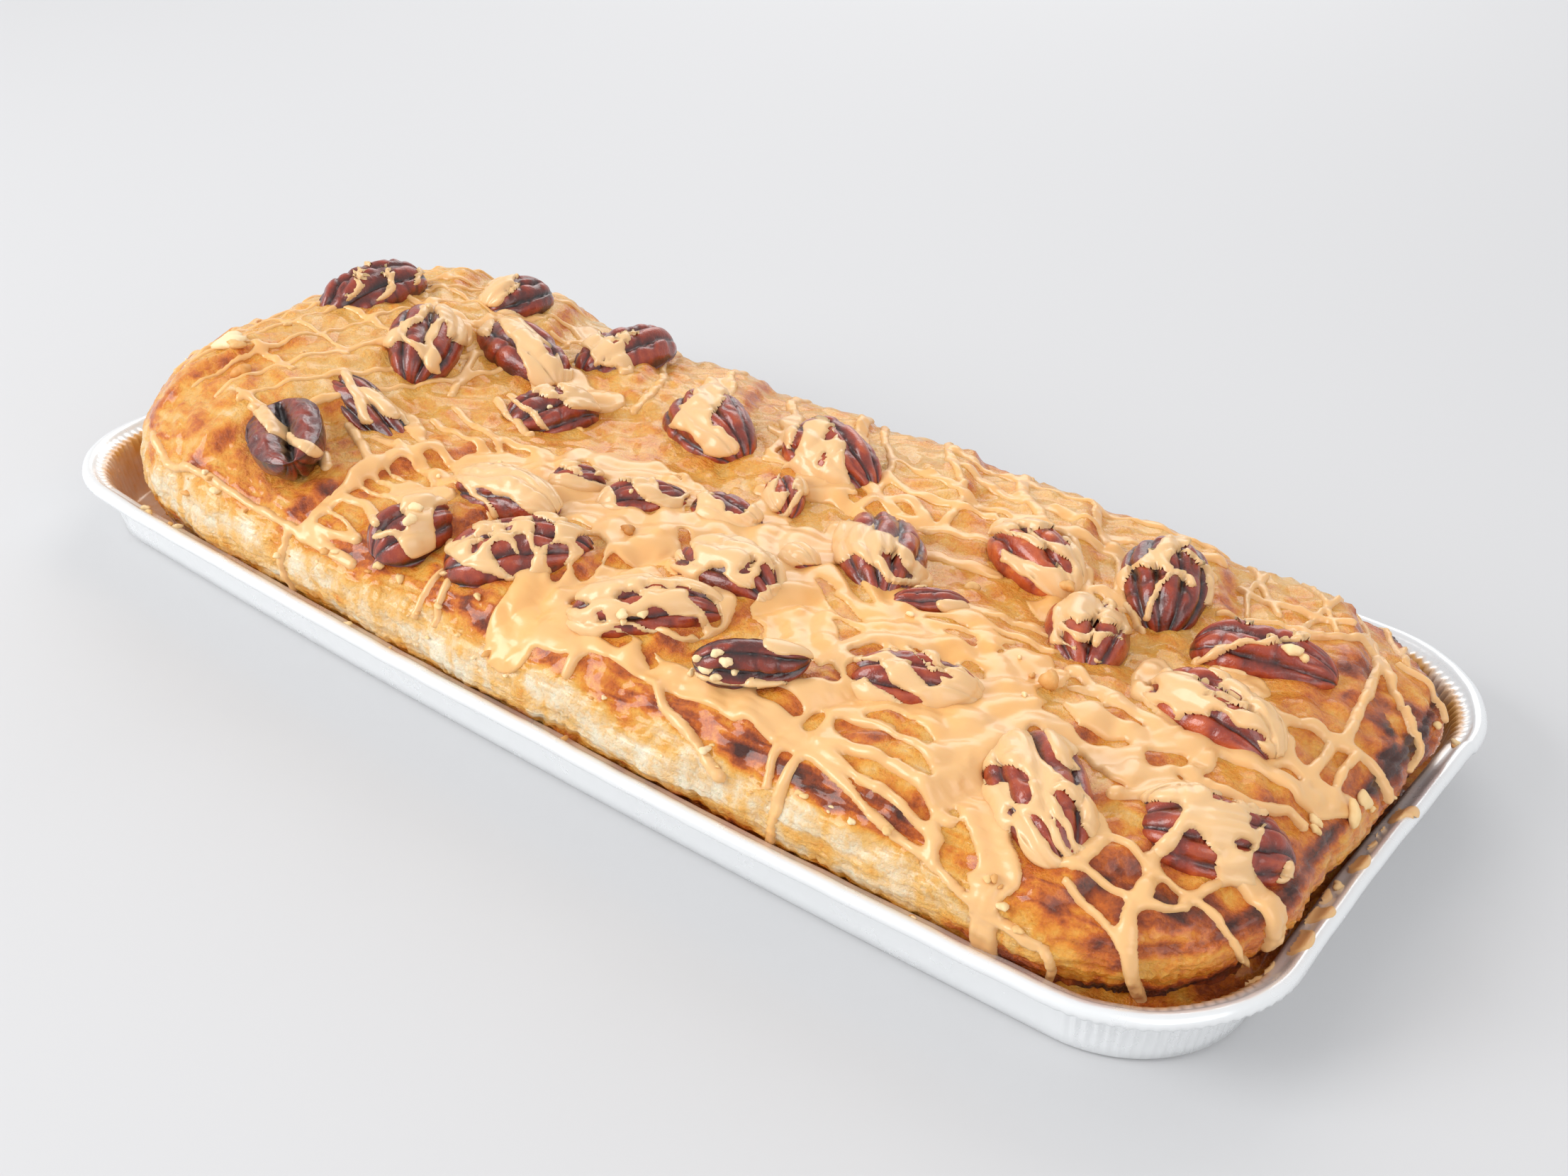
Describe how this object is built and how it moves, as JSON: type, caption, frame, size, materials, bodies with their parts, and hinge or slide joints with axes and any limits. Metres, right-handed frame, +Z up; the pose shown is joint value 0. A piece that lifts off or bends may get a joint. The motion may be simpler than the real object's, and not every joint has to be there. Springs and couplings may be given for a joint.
{
  "type": "maple nut danish pastry",
  "caption": "Long braided danish pastry with glossy brown top, pale flaky sides, pecan halves and drizzled maple icing, baked in a rectangular foil tray with a rolled rim.",
  "frame": {"origin": "on the surface it rests on, under the middle of the tray", "axes": "+X along the tray towards its lower end, +Y across it, +Z up"},
  "size_m": [0.3082, 0.1504, 0.0524],
  "materials": {
    "foil": "bright pressed foil, slightly crumpled at the corners",
    "baked_dough": "glazed amber crust with darker folds, pale dry flaky sides and thick tan icing",
    "nut": "syrup-glazed reddish brown, ridged"
  },
  "bodies": {
    "root": {"foil_tray": "foil", "pastry": "baked_dough", "pecan_01": "nut", "pecan_02": "nut", "pecan_03": "nut", "pecan_04": "nut", "pecan_05": "nut", "pecan_06": "nut", "pecan_07": "nut", "pecan_08": "nut", "pecan_09": "nut", "pecan_10": "nut", "pecan_11": "nut", "pecan_12": "nut", "pecan_13": "nut", "pecan_14": "nut", "pecan_15": "nut", "pecan_16": "nut", "pecan_17": "nut", "pecan_18": "nut", "pecan_19": "nut", "pecan_20": "nut", "pecan_21": "nut", "pecan_22": "nut", "pecan_23": "nut", "pecan_24": "nut", "pecan_25": "nut", "pecan_26": "nut", "pecan_27": "nut", "pecan_28": "nut", "pecan_29": "nut", "pecan_30": "nut", "pecan_31": "nut"}
  },
  "joints": []
}
